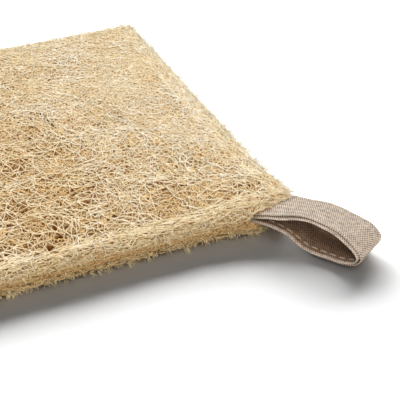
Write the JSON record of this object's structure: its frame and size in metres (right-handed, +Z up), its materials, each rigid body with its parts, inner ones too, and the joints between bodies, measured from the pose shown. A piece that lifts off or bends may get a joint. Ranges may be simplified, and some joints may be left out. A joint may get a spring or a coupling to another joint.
{
  "type": "natural loofah sponge",
  "caption": "Flat rectangular scrubbing pad of two seamed loofah sheets, with a folded linen tape sewn into one corner as a hanging loop.",
  "frame": {"origin": "middle of the pad, on the flat face that it lies on", "axes": "+X along the short side and -Y along the long side, both towards the corner with the loop; +Z up, out of the upper face"},
  "size_m": [0.1387, 0.1892, 0.0149],
  "materials": {
    "loofah": "open net of pale straw-coloured plant fibres, warmer brown in the pits",
    "linen": "plain woven undyed linen tape",
    "thread": "undyed sewing thread"
  },
  "bodies": {
    "root": {"top_loofah_sheet": "loofah", "bottom_loofah_sheet": "loofah", "seam_thread": "thread", "loop_tape": "linen", "loop_stitches_outside": "thread", "loop_stitches_inside": "thread"}
  },
  "joints": []
}
